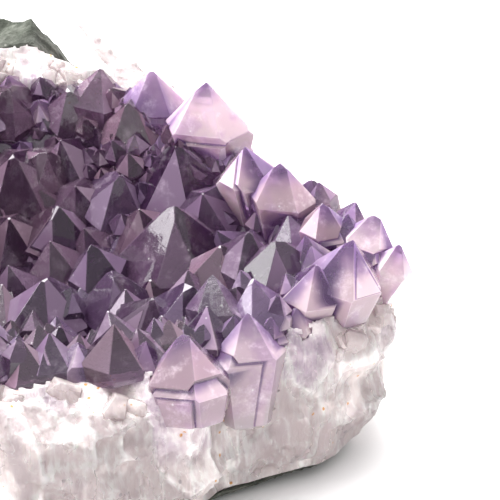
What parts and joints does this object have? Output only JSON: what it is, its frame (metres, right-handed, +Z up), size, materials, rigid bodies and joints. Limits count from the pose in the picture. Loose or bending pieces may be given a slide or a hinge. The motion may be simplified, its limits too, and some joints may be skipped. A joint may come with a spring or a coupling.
{
  "type": "amethyst crystal",
  "caption": "Amethyst crystal cluster broken from a geode: violet pointed crystals line a shallow hollow in a thick pale quartz wall with a grey-green stone skin, resting on a flat cut.",
  "frame": {"origin": "middle of the outline as seen from above, on the flat cut that the cluster rests on", "axes": "+Z up, -Y towards the low broken front that the picture looks at, +X towards the narrow low end on the right of the picture"},
  "size_m": [0.1351, 0.0998, 0.0622],
  "materials": {
    "amethyst": "clear violet crystal, glossy flat faces, paler towards the roots",
    "quartz": "milky white quartz, broken and glittering, part see-through",
    "basalt": "rough matt grey-green stone"
  },
  "bodies": {
    "root": {"amethyst_crust": "amethyst", "quartz_wall": "quartz", "basalt_rind": "basalt"}
  },
  "joints": []
}
